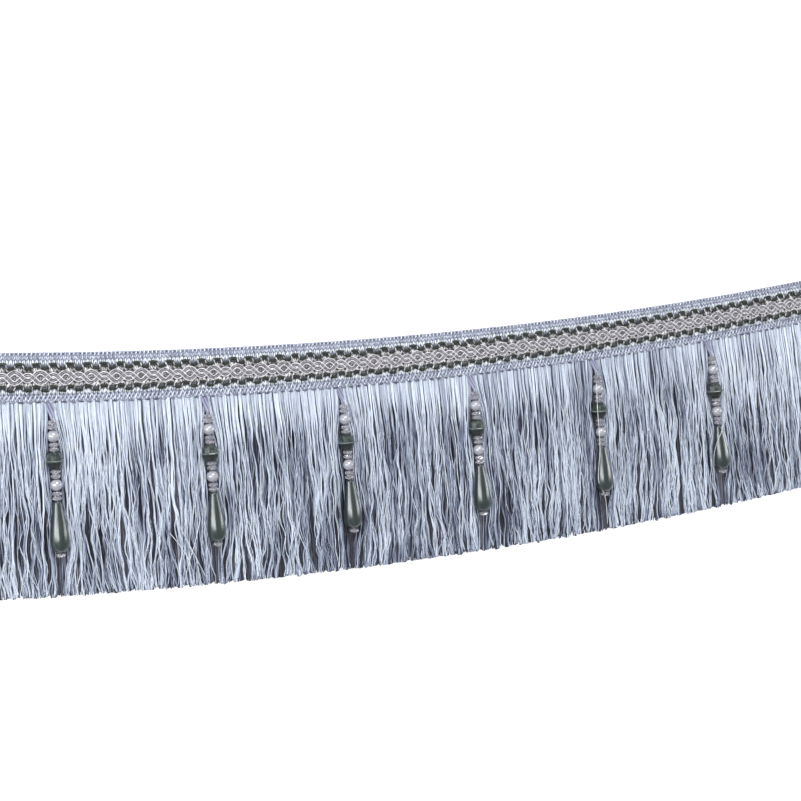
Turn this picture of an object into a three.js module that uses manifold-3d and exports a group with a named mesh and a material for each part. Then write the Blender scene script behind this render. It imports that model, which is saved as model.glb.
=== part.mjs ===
// Beaded fringe trim: a cut length of crochet-knit heading with a cut brush fringe and six bead drops,
// lying face up on a flat surface in a gentle arc. Millimetres, +Z up.
//
// The origin is on the back of the heading, at the middle of its length and width. +X runs along the
// trim, +Y from the fringe to the heading's top edge. Places on the trim are given as "along", from its
// left cut end, "down", from the heading's top edge to the fringe tips, and "up", from the surface.
import * as THREE from "three";
import { mergeVertices } from "three/addons/utils/BufferGeometryUtils.js";
import Module from "manifold-3d";

const wasm = await Module();
wasm.setup();

// Driving sizes. The knitting machine's course sets every repeat along the trim.
const COURSE = 2.11;
const COURSES = 234;
const LENGTH = COURSES * COURSE;
const HEADING_WIDTH = 25;
const FRINGE_END = 120;
const ARC_RADIUS = 2720;
const GAP = 0.3;

// The laid-in cords: an oval takes six courses, a wave of the green cord four.
const CORD_BED = 1.2 + GAP;
const OVAL_COURSES = 6;
const WAVE_COURSES = 4;

const FRINGE_BLUE = { color: 0xb9c6dc, roughness: 0.5 };
const HEADING_BLUE = { color: 0x8f9ac0, roughness: 0.75 };
const SILVER_GIMP = { color: 0xb5aeb0, roughness: 0.5 };
const GREEN_CORD = { color: 0x39463a, roughness: 0.6 };
const PEARL_WHITE = { color: 0xe9e2e8, roughness: 0.25 };
const DARK_GREEN_BEAD = { color: 0x2f4a42, roughness: 0.2 };
const PEARLESCENT_GREEN = { color: 0x3f5b5c, roughness: 0.3 };
const CLEAR_BEAD = { color: 0xc9c9da, roughness: 0.1 };

const trim = new THREE.Group();

function addPiece(parent, name, geometry, finish) {
  const piece = new THREE.Mesh(geometry, new THREE.MeshStandardMaterial({ metalness: 0, ...finish }));
  piece.name = name;
  parent.add(piece);
  return piece;
}

// The arc's turn, in radians, at a distance along the trim.
function turnAt(along) {
  return (along - LENGTH / 2) / ARC_RADIUS;
}

// A place on the trim, laid on the arc.
function lay(along, down, up) {
  const radius = ARC_RADIUS + down - HEADING_WIDTH / 2;
  const turn = turnAt(along);
  return new THREE.Vector3(radius * Math.sin(turn), ARC_RADIUS - radius * Math.cos(turn), up);
}

// A closed surface through outlines that all have the same number of points, with flat ends.
// place(index, point) gives the space point for a point of the outline with that index.
function loft(outlines, place) {
  const size = outlines[0].length;
  const last = outlines.length - 1;
  const positions = outlines.flatMap((outline, i) => outline.flatMap((point) => place(i, point).toArray()));
  const faces = [];
  for (let i = 0; i < last; i++) {
    for (let k = 0; k < size; k++) {
      const here = i * size + k;
      const next = i * size + ((k + 1) % size);
      faces.push(here, next, next + size, here, next + size, here + size);
    }
  }
  for (const [a, b, c] of THREE.ShapeUtils.triangulateShape(outlines[0], [])) {
    faces.push(a, c, b);
  }
  for (const [a, b, c] of THREE.ShapeUtils.triangulateShape(outlines[last], [])) {
    faces.push(last * size + a, last * size + b, last * size + c);
  }
  const geometry = new THREE.BufferGeometry();
  geometry.setAttribute("position", new THREE.Float32BufferAttribute(positions, 3));
  geometry.setIndex(faces);
  return geometry;
}

// A loft along the trim. Its outlines are across the heading: x is minus down, y is up.
function loftAlong(alongs, outlineAt) {
  return loft(alongs.map(outlineAt), (i, point) => lay(alongs[i], -point.x, point.y));
}

function stations(courseStep) {
  const count = Math.round(COURSES / courseStep);
  return Array.from({ length: count + 1 }, (_, i) => (i * LENGTH) / count);
}

// Plain strips need only enough stations to follow the arc.
const PLAIN_STEP = 18;

// Heading tape: both selvedges are thicker, with a bed between them for the laid-in cords.
const TAPE_FACE = [
  { down: 0, up: 0.9 },
  { down: 0.6, up: 1.7 },
  { down: 3.4, up: 1.7 },
  { down: 5.4, up: CORD_BED - GAP },
  { down: 19.4, up: CORD_BED - GAP },
  { down: 21.2, up: 1.7 },
  { down: 24.4, up: 1.7 },
  { down: HEADING_WIDTH, up: 0.9 },
];

function headingTape() {
  const back = [new THREE.Vector2(-HEADING_WIDTH, 0), new THREE.Vector2(0, 0)];
  const face = TAPE_FACE.map(({ down, up }) => new THREE.Vector2(-down, up));
  return loftAlong(stations(PLAIN_STEP), () => [...back, ...face]);
}

// Gimp: two cord bundles that wave against each other, in a chain of large ovals and small lenses.
// Its face has a ridge over each bundle, and its edges follow the bundles' outer sides. It is cut in
// the middle of a lens.
const GIMP = {
  down: 12.4,
  meanOffset: 0.53,
  swing: 2.12,
  halfBundle: 1,
  shoulder: 0.35,
  height: 1.1,
  hollow: 0.6,
};
// Shares of an oval's length, from the middle of a lens: the bundles cross, open, and stand widest.
const CROSSING = 0.21;
const OPENING = 0.35;
const OVAL_STATIONS = [0, CROSSING, OPENING, 0.5, 1 - OPENING, 1 - CROSSING];

function gimpOutline(along) {
  const phase = (2 * Math.PI * along) / (OVAL_COURSES * COURSE);
  const bundle = Math.abs(GIMP.meanOffset - GIMP.swing * Math.cos(phase));
  const ridge = Math.max(bundle, GIMP.shoulder);
  const edge = bundle + GIMP.halfBundle;
  const middle = bundle < GIMP.shoulder ? GIMP.height : GIMP.hollow;
  return [
    [-edge, 0],
    [edge, 0],
    [edge, GIMP.shoulder],
    [ridge, GIMP.height],
    [0, middle],
    [-ridge, GIMP.height],
    [-edge, GIMP.shoulder],
  ].map(([across, high]) => new THREE.Vector2(across - GIMP.down, CORD_BED + high));
}

function gimpBraid() {
  const ovals = COURSES / OVAL_COURSES;
  const alongs = [];
  for (let oval = 0; oval < ovals; oval++) {
    alongs.push(...OVAL_STATIONS.map((share) => (oval + share) * OVAL_COURSES * COURSE));
  }
  return loftAlong([...alongs, LENGTH], gimpOutline);
}

// Green cords: one on each side of the gimp, stepping up and down every two courses.
const GREEN_CORDS = [
  { name: "green_cord_upper", down: 6.95, step: 0.85 },
  { name: "green_cord_lower", down: 17.75, step: 0.8 },
];
const GREEN_WIDTH = 1.4;
const GREEN_CROWN = 0.75;
const GREEN_HEIGHT = 1;

function greenCord({ down, step }) {
  const half = GREEN_WIDTH / 2;
  return loftAlong(stations(WAVE_COURSES / 2), (along) => {
    const wave = Math.round((2 * along) / (WAVE_COURSES * COURSE)) % 2 ? step : -step;
    return [
      [-half, 0],
      [half, 0],
      [half * GREEN_CROWN, GREEN_HEIGHT],
      [-half * GREEN_CROWN, GREEN_HEIGHT],
    ].map(([across, high]) => new THREE.Vector2(across - down + wave, CORD_BED + high));
  });
}

// Bead drops, some 36 courses apart: each hangs from the heading's lower edge at its own course, and
// leans to the right by its lean at its end.
const DROP_LENGTH = 75.6;
const BEAD_LINE_UP = 5.5;
const WIDEST_BEAD = 4.8;
const DROPS = [
  { name: "drop_1", course: 17, lean: 4.5 },
  { name: "drop_2", course: 54.4, lean: 3.8 },
  { name: "drop_3", course: 89.4, lean: 2.7 },
  { name: "drop_4", course: 125.4, lean: 0.4 },
  { name: "drop_5", course: 161.4, lean: -1.8 },
  { name: "drop_6", course: 197, lean: -0.9 },
].map((drop) => ({ ...drop, along: drop.course * COURSE }));

// The lean of drop and fringe, as a slope, eased from each drop to the next.
function leanAt(along) {
  let lean = DROPS[0].lean;
  for (let i = 1; i < DROPS.length; i++) {
    const change = DROPS[i].lean - DROPS[i - 1].lean;
    lean += change * THREE.MathUtils.smoothstep(along, DROPS[i - 1].along, DROPS[i].along);
  }
  return lean / DROP_LENGTH;
}

// Fringe: one lock of yarn for each course, its root fused into a narrow strip below the heading.
// Locks lie on their flat backs, sway a little, and part behind each bead drop.
const ROOT_STRIP = { top: HEADING_WIDTH + GAP, bottom: HEADING_WIDTH + GAP + 2, height: 1 };
const LOCK_RINGS = [
  { down: HEADING_WIDTH + 1.3, width: 1.5, fullness: 0.3 },
  { down: 64, width: 1.75, fullness: 1 },
  { down: FRINGE_END, width: 1.2, fullness: 0.4 },
];
const LOCK_HEIGHT = 2.7;
const LOWEST_SHARE = 0.8;
const PARTING = COURSE;
const SWAY = { size: 1.2, wavelength: 47, none: 2 * COURSE, full: 8 * COURSE };
const UNEVEN_TIP = 1.6;

// A repeatable number from 0 to 1 for each lock, so that no two neighbours are alike.
function uneven(i) {
  const wild = Math.sin(i * 12.9898) * 43758.5453;
  return wild - Math.floor(wild);
}

function distanceToDrop(along) {
  return Math.min(...DROPS.map((drop) => Math.abs(drop.along - along)));
}

// The room between the surface and the widest bead, at a distance from the drop's line.
function roomUnderBead(toDrop) {
  if (toDrop >= WIDEST_BEAD) {
    return LOCK_HEIGHT;
  }
  return BEAD_LINE_UP - Math.sqrt(WIDEST_BEAD ** 2 - toDrop ** 2) - GAP;
}

function lock(i) {
  const root = (i + 0.5) * COURSE;
  const toDrop = distanceToDrop(root);
  const fullHeight = LOCK_HEIGHT * THREE.MathUtils.lerp(LOWEST_SHARE, 1, uneven(i));
  const height = Math.min(fullHeight, roomUnderBead(toDrop));
  const sway = SWAY.size * THREE.MathUtils.smoothstep(toDrop, SWAY.none, SWAY.full);
  const outlines = LOCK_RINGS.map(({ width, fullness }) => [
    new THREE.Vector2(-width / 2, 0),
    new THREE.Vector2(width / 2, 0),
    new THREE.Vector2(0, height * fullness),
  ]);
  return loft(outlines, (ring, point) => {
    const atTip = ring === LOCK_RINGS.length - 1;
    const down = LOCK_RINGS[ring].down - (atTip ? UNEVEN_TIP * uneven(i + 0.5) : 0);
    const fallen = down - HEADING_WIDTH;
    const wave = Math.sin((2 * Math.PI * (root + fallen)) / SWAY.wavelength);
    const along = root + leanAt(root) * fallen + (sway * wave * fallen) / (FRINGE_END - HEADING_WIDTH);
    return lay(along + point.x, down, point.y);
  });
}

function toSolid(geometry) {
  const welded = mergeVertices(geometry, 1e-3);
  return new wasm.Manifold(
    new wasm.Mesh({
      numProp: 3,
      vertProperties: new Float32Array(welded.attributes.position.array),
      triVerts: new Uint32Array(welded.index.array),
    }),
  );
}

function toGeometry(solid) {
  const { vertProperties, triVerts } = solid.getMesh();
  const geometry = new THREE.BufferGeometry();
  geometry.setAttribute("position", new THREE.BufferAttribute(vertProperties, 3));
  geometry.setIndex(new THREE.BufferAttribute(triVerts, 1));
  return geometry;
}

function fringe() {
  const { top, bottom, height } = ROOT_STRIP;
  const stripOutline = [
    new THREE.Vector2(-bottom, 0),
    new THREE.Vector2(-top, 0),
    new THREE.Vector2(-top, height),
    new THREE.Vector2(-bottom, height),
  ];
  let joined = toSolid(loftAlong(stations(PLAIN_STEP), () => stripOutline));
  for (let i = 0; i < COURSES; i++) {
    if (distanceToDrop((i + 0.5) * COURSE) > PARTING) {
      joined = joined.add(toSolid(lock(i)));
    }
  }
  return toGeometry(joined);
}

// Beads, top to bottom. Each is turned about the drop's thread, and every big one is bored for it.
const THREAD_RADIUS = 0.4;
const BORE_RADIUS = 0.75;
const THREAD_START = { down: GAP, up: 1.7 };
const FIRST_BEAD = 8.1;
const PEARL_RADIUS = 3;
const SPACER_RADIUS = 2;
const SPACER_LENGTH = 2.25;
const SPACER_WAIST = 1.1;

// Half outlines of the bored beads: distance below the bead's top, and radius there.
const LANTERN = [
  { below: 0, radius: 2.3 },
  { below: 1.5, radius: 3.6 },
  { below: 3.9, radius: 4.3 },
  { below: 4.1, radius: WIDEST_BEAD },
  { below: 4.6, radius: WIDEST_BEAD },
  { below: 4.8, radius: 4.1 },
  { below: 6.6, radius: 3.5 },
  { below: 8, radius: 2.4 },
];
const TEARDROP = [
  { below: 0, radius: 1.7 },
  { below: 6, radius: 2.6 },
  { below: 13, radius: 3.75 },
  { below: 18, radius: 4.55 },
  { below: 21, radius: 4.75 },
  { below: 23.2, radius: 4.1 },
  { below: 24.7, radius: 2.8 },
  { below: 25.2, radius: 1.6 },
];

function pearlOutline() {
  const steps = 6;
  const halfLength = Math.sqrt(PEARL_RADIUS ** 2 - BORE_RADIUS ** 2);
  const firstAngle = Math.asin(BORE_RADIUS / PEARL_RADIUS);
  return Array.from({ length: steps + 1 }, (_, i) => {
    const angle = firstAngle + ((Math.PI - 2 * firstAngle) * i) / steps;
    return { below: halfLength - PEARL_RADIUS * Math.cos(angle), radius: PEARL_RADIUS * Math.sin(angle) };
  });
}

const BEADS = [
  { kind: "spacers", count: 2 },
  { kind: "bead", name: "upper_pearl", outline: pearlOutline(), sides: 10, finish: PEARL_WHITE },
  { kind: "spacers", count: 2 },
  { kind: "bead", name: "lantern_bead", outline: LANTERN, sides: 8, finish: DARK_GREEN_BEAD },
  { kind: "spacers", count: 2 },
  { kind: "bead", name: "lower_pearl", outline: pearlOutline(), sides: 10, finish: PEARL_WHITE },
  { kind: "spacers", count: 2 },
  { kind: "bead", name: "teardrop", outline: TEARDROP, sides: 10, finish: PEARLESCENT_GREEN },
  { kind: "spacers", count: 1 },
];

// Adds one drop. Inside its group y is minus the distance down the thread, and z is up.
function addDrop({ name, along, lean }) {
  const group = new THREE.Group();
  group.position.copy(lay(along, HEADING_WIDTH, 0));
  group.rotation.z = turnAt(along) + Math.atan(lean / DROP_LENGTH);
  trim.add(group);

  const thread = [
    { down: THREAD_START.down, radius: 0 },
    { down: THREAD_START.down, radius: THREAD_RADIUS },
  ];
  let down = FIRST_BEAD;
  for (const bead of BEADS) {
    if (bead.kind === "spacers") {
      for (let k = 0; k < bead.count; k++) {
        thread.push({ down, radius: k ? SPACER_WAIST : THREAD_RADIUS });
        thread.push({ down: down + SPACER_LENGTH / 2, radius: SPACER_RADIUS });
        down += SPACER_LENGTH;
      }
      thread.push({ down, radius: THREAD_RADIUS });
    } else {
      const top = down;
      const outline = bead.outline.map(({ below, radius }) => new THREE.Vector2(radius, -top - below));
      down += bead.outline.at(-1).below;
      const bore = [new THREE.Vector2(BORE_RADIUS, -down), new THREE.Vector2(BORE_RADIUS, -top)];
      const outer = outline.filter((point) => point.x > BORE_RADIUS + 0.01);
      const turned = new THREE.LatheGeometry([...outer, ...bore, outer[0]].reverse(), bead.sides);
      addPiece(group, `${name}_${bead.name}`, turned, bead.finish).position.z = BEAD_LINE_UP;
    }
    down += GAP;
  }
  thread.push({ down: down - GAP, radius: 0 });

  const profile = thread.map((point) => new THREE.Vector2(point.radius, -point.down)).reverse();
  const string = new THREE.LatheGeometry(profile, 6);
  const vertices = string.attributes.position;
  for (let i = 0; i < vertices.count; i++) {
    const rise = THREE.MathUtils.smoothstep(-vertices.getY(i), THREAD_START.down, FIRST_BEAD);
    vertices.setZ(i, vertices.getZ(i) + THREE.MathUtils.lerp(THREAD_START.up, BEAD_LINE_UP, rise));
  }
  addPiece(group, `${name}_threaded_spacers`, string, CLEAR_BEAD);
}

addPiece(trim, "heading_tape", headingTape(), HEADING_BLUE);
addPiece(trim, "gimp_braid", gimpBraid(), SILVER_GIMP);
for (const cord of GREEN_CORDS) {
  addPiece(trim, cord.name, greenCord(cord), GREEN_CORD);
}
addPiece(trim, "fringe", fringe(), FRINGE_BLUE);
for (const drop of DROPS) {
  addDrop(drop);
}

export default trim;
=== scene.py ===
import math

import bmesh
import bpy
from mathutils import Matrix, Vector


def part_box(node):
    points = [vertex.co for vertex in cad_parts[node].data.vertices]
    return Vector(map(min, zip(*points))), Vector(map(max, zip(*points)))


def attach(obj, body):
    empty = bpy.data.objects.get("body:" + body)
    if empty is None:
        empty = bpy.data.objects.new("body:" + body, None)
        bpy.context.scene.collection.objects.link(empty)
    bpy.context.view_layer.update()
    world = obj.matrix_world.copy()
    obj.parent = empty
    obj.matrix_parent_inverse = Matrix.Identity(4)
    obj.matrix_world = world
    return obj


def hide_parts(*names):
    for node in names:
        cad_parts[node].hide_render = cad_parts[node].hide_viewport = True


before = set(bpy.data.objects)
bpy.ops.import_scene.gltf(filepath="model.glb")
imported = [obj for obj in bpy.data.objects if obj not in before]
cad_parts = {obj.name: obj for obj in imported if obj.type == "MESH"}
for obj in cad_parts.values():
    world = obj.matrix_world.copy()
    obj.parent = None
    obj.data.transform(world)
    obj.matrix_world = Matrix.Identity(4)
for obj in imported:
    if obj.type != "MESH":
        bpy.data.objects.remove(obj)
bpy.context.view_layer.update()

# Camera
# A long lens a metre away, looking down at the trim from beyond its left end, so that the left
# drops come out larger than the right ones. Its place comes from a fit of the trim's edges.
MM = 0.001
SENSOR = 36.0
PICTURE_SIDE = 801
FOCAL_LENGTH_IN_PIXELS = 1886.44
CAMERA_AIM = Vector((-23.366, -21.714, 0)) * MM
CAMERA_DISTANCE = 1000 * MM
CAMERA_AZIMUTH = math.radians(-102.551)
CAMERA_ELEVATION = math.radians(65.224)
CAMERA_ROLL = math.radians(-3.876)
NEAREST = 0.05
FARTHEST = 20

camera_data = bpy.data.cameras.new("camera")
camera_data.sensor_width = SENSOR
camera_data.lens = FOCAL_LENGTH_IN_PIXELS * SENSOR / PICTURE_SIDE
camera_data.clip_start = NEAREST
camera_data.clip_end = FARTHEST
camera = bpy.data.objects.new("camera", camera_data)
bpy.context.scene.collection.objects.link(camera)
bpy.context.scene.camera = camera
back = Vector((
    math.sin(CAMERA_AZIMUTH) * math.cos(CAMERA_ELEVATION),
    -math.cos(CAMERA_AZIMUTH) * math.cos(CAMERA_ELEVATION),
    math.sin(CAMERA_ELEVATION),
))
level_right = Vector((0, 1, 0)).cross(back).normalized()
level_up = back.cross(level_right)
right = level_right * math.cos(CAMERA_ROLL) + level_up * math.sin(CAMERA_ROLL)
up = level_up * math.cos(CAMERA_ROLL) - level_right * math.sin(CAMERA_ROLL)
turn = Matrix((right, up, back)).transposed().to_4x4()
camera.matrix_world = Matrix.Translation(CAMERA_AIM + back * CAMERA_DISTANCE) @ turn

# Surface and light
# The trim lies on a plain white surface. Soft light comes from above its heading, and a long
# softbox on each side gives the beads their streaks.
SURFACE_HALF = 3.0
SURFACE_DEPTH = 0.00015

surface_mesh = bpy.data.meshes.new("surface")
surface_mesh.from_pydata(
    [(x * SURFACE_HALF, y * SURFACE_HALF, -SURFACE_DEPTH) for x, y in ((-1, -1), (1, -1), (1, 1), (-1, 1))],
    [],
    [(0, 1, 2, 3)],
)
surface = bpy.data.objects.new("surface", surface_mesh)
bpy.context.scene.collection.objects.link(surface)
paper = bpy.data.materials.new("white paper")
paper.use_nodes = True
paper_shader = paper.node_tree.nodes["Principled BSDF"]
paper_shader.inputs["Base Color"].default_value = (0.9, 0.9, 0.9, 1)
paper_shader.inputs["Roughness"].default_value = 0.9
paper_shader.inputs["Specular IOR Level"].default_value = 0.1
paper_shader.inputs["Emission Color"].default_value = (1, 1, 1, 1)
paper_shader.inputs["Emission Strength"].default_value = 0.56
surface_mesh.materials.append(paper)


def softbox(name, place, aim, size, power):
    """A rectangular softbox, aimed at a point, with its size across and along the trim."""
    light = bpy.data.lights.new(name, "AREA")
    light.shape = "RECTANGLE"
    light.size, light.size_y = size
    light.energy = power
    lamp = bpy.data.objects.new(name, light)
    bpy.context.scene.collection.objects.link(lamp)
    turned = (Vector(place) - Vector(aim)).to_track_quat("Z", "Y").to_matrix().to_4x4()
    lamp.matrix_world = Matrix.Translation(place) @ turned


softbox("key softbox", (-0.15, 0.75, 0.85), (0, -0.03, 0), (0.8, 0.35), 11)
softbox("left softbox", (-0.92, 0.05, 0.56), (0, -0.05, 0), (0.2, 1.1), 8)
softbox("right softbox", (0.92, 0.0, 0.38), (0, -0.05, 0), (0.1, 1.0), 3)
sky = bpy.data.worlds.new("studio")
sky.use_nodes = True
sky.node_tree.nodes["Background"].inputs["Color"].default_value = (0.95, 0.97, 1.0, 1)
sky.node_tree.nodes["Background"].inputs["Strength"].default_value = 0.5
bpy.context.scene.world = sky
bpy.context.scene.view_settings.view_transform = "Standard"

# Heading tape
# A flat crochet-knit tape of slate-lavender rayon, 25 mm wide, knitted in courses across the trim.
# Its two edges are knitted thicker. It lies in a gentle arc, and the fringe hangs from its long side.
COURSE = 2.11
COURSES = 234
LENGTH = COURSE * COURSES
HEADING_WIDTH = 25.0
ARC_RADIUS = 2720.0
FACE = ((0, 0.7), (0.6, 1.45), (2.0, 1.6), (3.4, 1.5), (5.4, 0.95), (8.5, 0.95), (12.5, 0.9),
        (16.5, 0.95), (19.4, 0.95), (21.2, 1.5), (22.8, 1.6), (24.4, 1.4), (25, 0.7))
UNDERSIDE = ((24.6, 0.1), (20, 0), (12.5, 0), (5, 0), (0.4, 0.1))
STATIONS_PER_COURSE = 4
RIB_HEIGHT = 0.1
KNIT_RELIEF = 0.0002
GREY_MIDDLE = (4.5, 6.0)


class Amount:
    """A number that a tree of nodes works out. It adds and multiplies, so formulas read as such."""

    def __init__(self, steps, socket):
        self.steps = steps
        self.socket = socket

    def __add__(self, other):
        return self.steps.math("ADD", self, other)

    def __radd__(self, other):
        return self.steps.math("ADD", other, self)

    def __sub__(self, other):
        return self.steps.math("SUBTRACT", self, other)

    def __rsub__(self, other):
        return self.steps.math("SUBTRACT", other, self)

    def __mul__(self, other):
        return self.steps.math("MULTIPLY", self, other)

    def __rmul__(self, other):
        return self.steps.math("MULTIPLY", other, self)

    def __truediv__(self, other):
        return self.steps.math("DIVIDE", self, other)

    def __pow__(self, other):
        return self.steps.math("POWER", self, other)


class Steps:
    """Lays down the nodes of one tree, step by step."""

    def __init__(self, tree):
        self.tree = tree

    def fill(self, node, inputs):
        """Links a node's inputs to other nodes, or sets them."""
        for label, value in inputs.items():
            if isinstance(value, Amount):
                value = value.socket
            elif isinstance(value, bpy.types.Node):
                value = value.outputs[0]
            if isinstance(value, bpy.types.NodeSocket):
                self.tree.links.new(value, node.inputs[label])
            else:
                node.inputs[label].default_value = value
        return node

    def node(self, kind, inputs=None, **settings):
        node = self.tree.nodes.new(kind)
        for setting, value in settings.items():
            setattr(node, setting, value)
        return self.fill(node, inputs or {})

    def amount(self, node, output=0):
        return Amount(self, node.outputs[output])

    def math(self, operation, *values):
        return self.amount(self.node("ShaderNodeMath", dict(enumerate(values)), operation=operation))

    def place(self, x=0.0, y=0.0, z=0.0):
        """A place made of its three numbers."""
        return self.node("ShaderNodeCombineXYZ", {0: x, 1: y, 2: z})

    def parts(self, place):
        """The three numbers of a place."""
        split = self.node("ShaderNodeSeparateXYZ", {0: place})
        return [self.amount(split, number) for number in range(3)]

    def object_place(self):
        """Where a point of the finished piece is, in metres."""
        return self.parts(self.amount(self.node("ShaderNodeTexCoord"), "Object"))

    def smooth(self, value, low, high):
        """Rises smoothly from 0 at low to 1 at high."""
        sizes = {"Value": value, "From Min": low, "From Max": high}
        return self.amount(self.node("ShaderNodeMapRange", sizes, interpolation_type="SMOOTHSTEP"))

    def noise(self, x, y, z=0.0, detail=0.0):
        """Smooth wandering between about -0.6 and 0.6, one unit of place to a swing. Where x and y
        say enough, a fixed z keeps one wandering apart from the others."""
        inputs = {"Vector": self.place(x, y, z), "Scale": 1.0, "Detail": detail}
        node = self.node("ShaderNodeTexNoise", inputs)
        return (self.amount(node) - 0.5) * 2.0


def on_trim(along, down, up):
    """A point of the trim: along from its middle, down from its top edge, up from its back."""
    radius = ARC_RADIUS + down - HEADING_WIDTH / 2
    turned = along / ARC_RADIUS
    return Vector((radius * math.sin(turned), ARC_RADIUS - radius * math.cos(turned), up)) * MM


def ramp(steps, level, colours):
    """A colour ramp over evenly spaced colours."""
    node = steps.node("ShaderNodeValToRGB", {"Fac": level})
    stops = node.color_ramp.elements
    while len(stops) < len(colours):
        stops.new(0.5)
    for number, colour in enumerate(colours):
        stops[number].position = number / (len(colours) - 1)
        stops[number].color = (*colour, 1)
    return node


def start_material(name):
    """A new material, the steps that build its tree, and its shader."""
    material = bpy.data.materials.new(name)
    material.use_nodes = True
    return material, Steps(material.node_tree), material.node_tree.nodes["Principled BSDF"]


def knitted_ground():
    """Slate-lavender knit with a silver-grey middle, and painted shade that darkens the furrows between the
    wales.
    """
    material, steps, shader = start_material("knitted ground")
    course, wale, _ = steps.parts(steps.node("ShaderNodeUVMap", uv_map="knit"))
    slanted = course + steps.math("PINGPONG", wale, 1.0) * 0.5
    # The loops raise the knit's relief and also darken its colour in the furrows, as painted shade.
    loops = steps.math("SINE", slanted * math.tau * 2) * steps.math("SINE", wale * math.tau)
    fibres = steps.noise(course * 9.0, wale * 5.0, 0.0, 2.0)
    level = loops * 0.3 + fibres * 0.5 + 0.45
    edges = ramp(steps, level, ((0.06, 0.065, 0.1), (0.26, 0.285, 0.38), (0.56, 0.6, 0.7)))
    middle = ramp(steps, level, ((0.02, 0.018, 0.02), (0.1, 0.09, 0.1), (0.36, 0.35, 0.36)))
    from_middle = steps.math("ABSOLUTE", wale * COURSE - HEADING_WIDTH / 2)
    share = steps.smooth(from_middle, *GREY_MIDDLE)
    colours = steps.node("ShaderNodeMix", {0: share, 6: middle, 7: edges}, data_type="RGBA")
    steps.fill(shader, {
        "Base Color": colours.outputs[2],
        "Normal": steps.node("ShaderNodeBump", {"Height": level, "Distance": KNIT_RELIEF, "Strength": 0.8}),
        "Roughness": 0.55,
        "Sheen Weight": 0.2,
    })
    return material


ring = [(down, up, True) for down, up in FACE] + [(down, up, False) for down, up in UNDERSIDE]
stations = COURSES * STATIONS_PER_COURSE
tape = bmesh.new()
rows = []
for station in range(stations + 1):
    along = LENGTH * (station / stations - 0.5)
    rib = RIB_HEIGHT * math.cos(math.tau * station / STATIONS_PER_COURSE)
    rows.append([tape.verts.new(on_trim(along, down, up + rib * face)) for down, up, face in ring])
knit = tape.loops.layers.uv.new("knit")
for station, (here, following) in enumerate(zip(rows, rows[1:])):
    for number in range(len(ring)):
        after = (number + 1) % len(ring)
        face = tape.faces.new((here[number], here[after], following[after], following[number]))
        for loop, (course, place) in zip(face.loops, ((0, number), (0, after), (1, after), (1, number))):
            wale = ring[place][0] / COURSE
            loop[knit].uv = ((station + course) / STATIONS_PER_COURSE, wale)
for end in (rows[0], rows[-1]):
    for loop, (down, up, _) in zip(tape.faces.new(end).loops, ring):
        loop[knit].uv = (up / COURSE, down / COURSE)
bmesh.ops.recalc_face_normals(tape, faces=tape.faces)
tape_mesh = bpy.data.meshes.new("heading_ground")
tape.to_mesh(tape_mesh)
tape.free()
tape_mesh.materials.append(knitted_ground())
tape_mesh.shade_smooth()
heading_ground = bpy.data.objects.new("heading_ground", tape_mesh)
bpy.context.scene.collection.objects.link(heading_ground)
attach(heading_ground, "root")
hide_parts("heading_tape")

# Knitted stitches
# The yarns that stand proud of the ground: blue-lavender bars and white floats in both edges, silver
# teeth beside and over the green cords, slate loops along the edges and pale ones in the ovals. They
# lie in rows at the pitch of the courses.
FIBRES_ACROSS = 5000.0
FIBRES_ALONG = 600.0
FIBRE_RELIEF = 0.00008
STITCH_SIDES = 4
STITCH_TURN = 0.2
SMALLEST_STITCH = 0.85
LARGEST_STITCH = 1.12
STITCH_TONES = 0.32


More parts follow.
